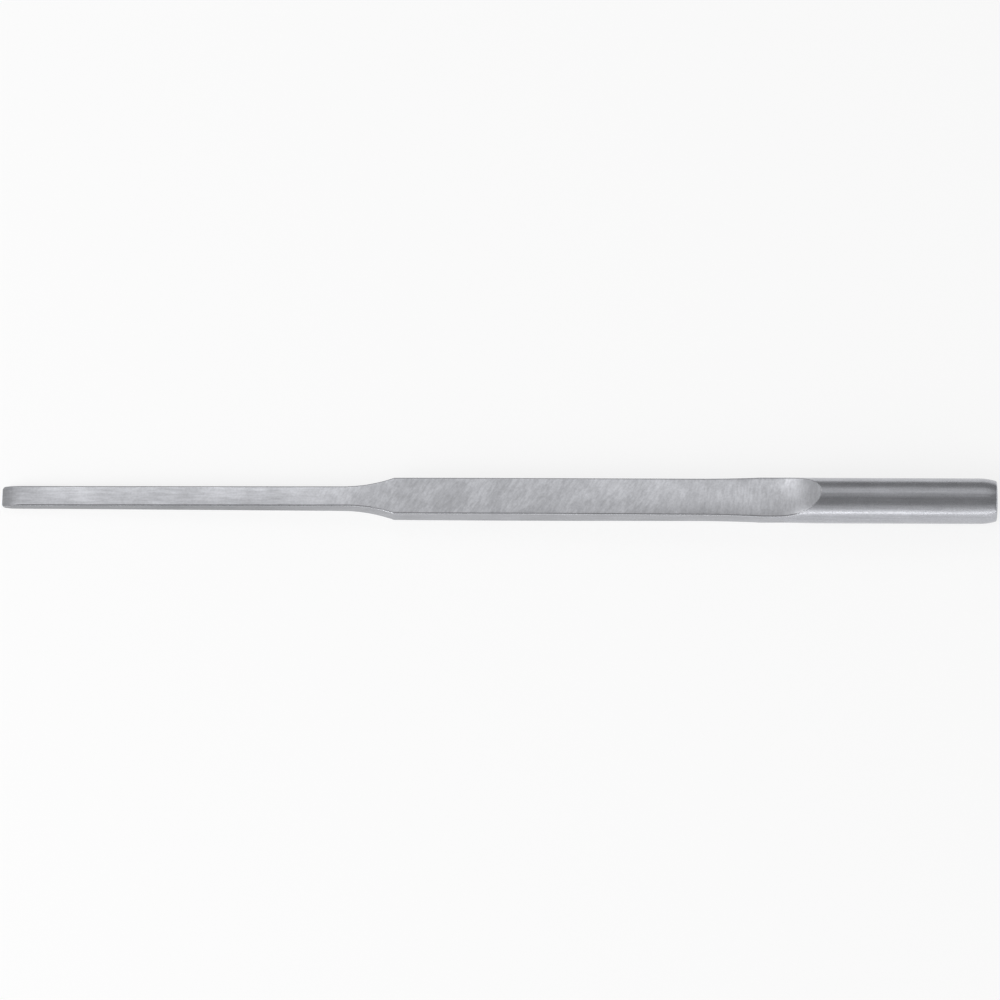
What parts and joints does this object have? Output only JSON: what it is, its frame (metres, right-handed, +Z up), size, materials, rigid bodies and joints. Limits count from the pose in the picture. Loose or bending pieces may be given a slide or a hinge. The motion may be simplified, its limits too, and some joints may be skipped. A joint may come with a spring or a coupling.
{
  "type": "osteotome",
  "caption": "Osteotome ground from round steel bar: slim blade bevelled on both sides, flared neck, flat grip with curved run-outs, and a round shank with a striking end.",
  "frame": {"origin": "on the table under the middle of the instrument's bounding box, as it lies flat side up", "axes": "+X towards the striking end, +Y across the blade, +Z up out of the broad faces; the bar's axis leans 1.31 degrees, so that the lower bevel and the end of the lower run-out both touch the table"},
  "size_m": [0.175, 0.008, 0.0086],
  "materials": {
    "satin_steel": "faces brushed across the length, round shank satin polished"
  },
  "bodies": {
    "root": {"osteotome": "satin_steel"}
  },
  "joints": []
}
